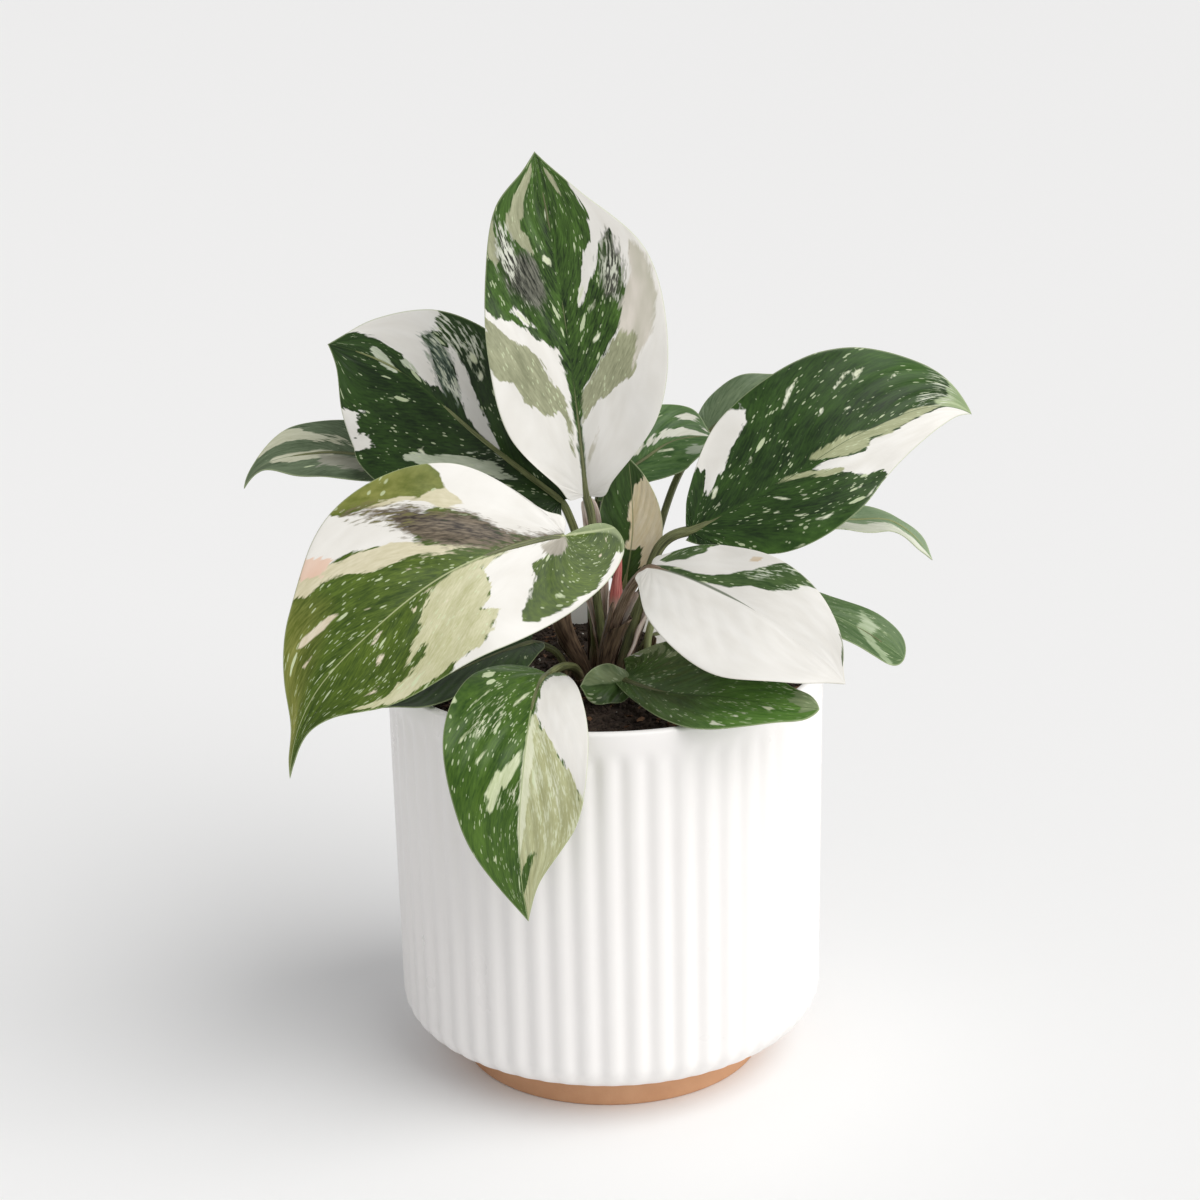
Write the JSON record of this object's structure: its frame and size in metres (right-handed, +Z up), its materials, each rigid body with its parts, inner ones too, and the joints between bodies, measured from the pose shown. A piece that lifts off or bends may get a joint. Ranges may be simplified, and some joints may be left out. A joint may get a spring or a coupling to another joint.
{
  "type": "potted philodendron",
  "caption": "Young variegated philodendron with heart-shaped leaves, a rolled new shoot and stalks standing in soil, in a fluted round glazed pot on a bare clay foot.",
  "frame": {"origin": "centre of the foot's flat underside, on the pot's axis and on the surface that the pot stands on", "axes": "+Z up along the pot's axis, -Y towards the front, the side that the picture shows, +X to the right as seen from the front"},
  "size_m": [0.243, 0.1638, 0.303],
  "materials": {
    "glaze": "white gloss glaze",
    "terracotta": "matt bare fired clay",
    "soil": "moist dark potting mix with bark and pale grains",
    "green_leaf": "waxy semi-gloss leaf, dark green",
    "mixed_leaf": "waxy semi-gloss leaf, green with cream and sage",
    "cream_leaf": "waxy semi-gloss leaf, mostly cream",
    "shoot": "smooth pink rolled leaf in its sheath"
  },
  "bodies": {
    "root": {"pot_body": "glaze", "pot_foot": "terracotta", "soil": "soil", "new_shoot": "shoot", "leaf_top": "mixed_leaf", "leaf_upper_left": "green_leaf", "leaf_front_left": "mixed_leaf", "leaf_front": "mixed_leaf", "leaf_right": "green_leaf", "leaf_white_right": "cream_leaf", "leaf_low_right": "green_leaf", "leaf_far_left": "mixed_leaf", "leaf_back_right": "mixed_leaf", "leaf_back_upper_right": "green_leaf", "leaf_centre": "mixed_leaf", "leaf_far_right": "cream_leaf", "leaf_low_far_right": "green_leaf", "leaf_low_left": "green_leaf"}
  },
  "joints": []
}
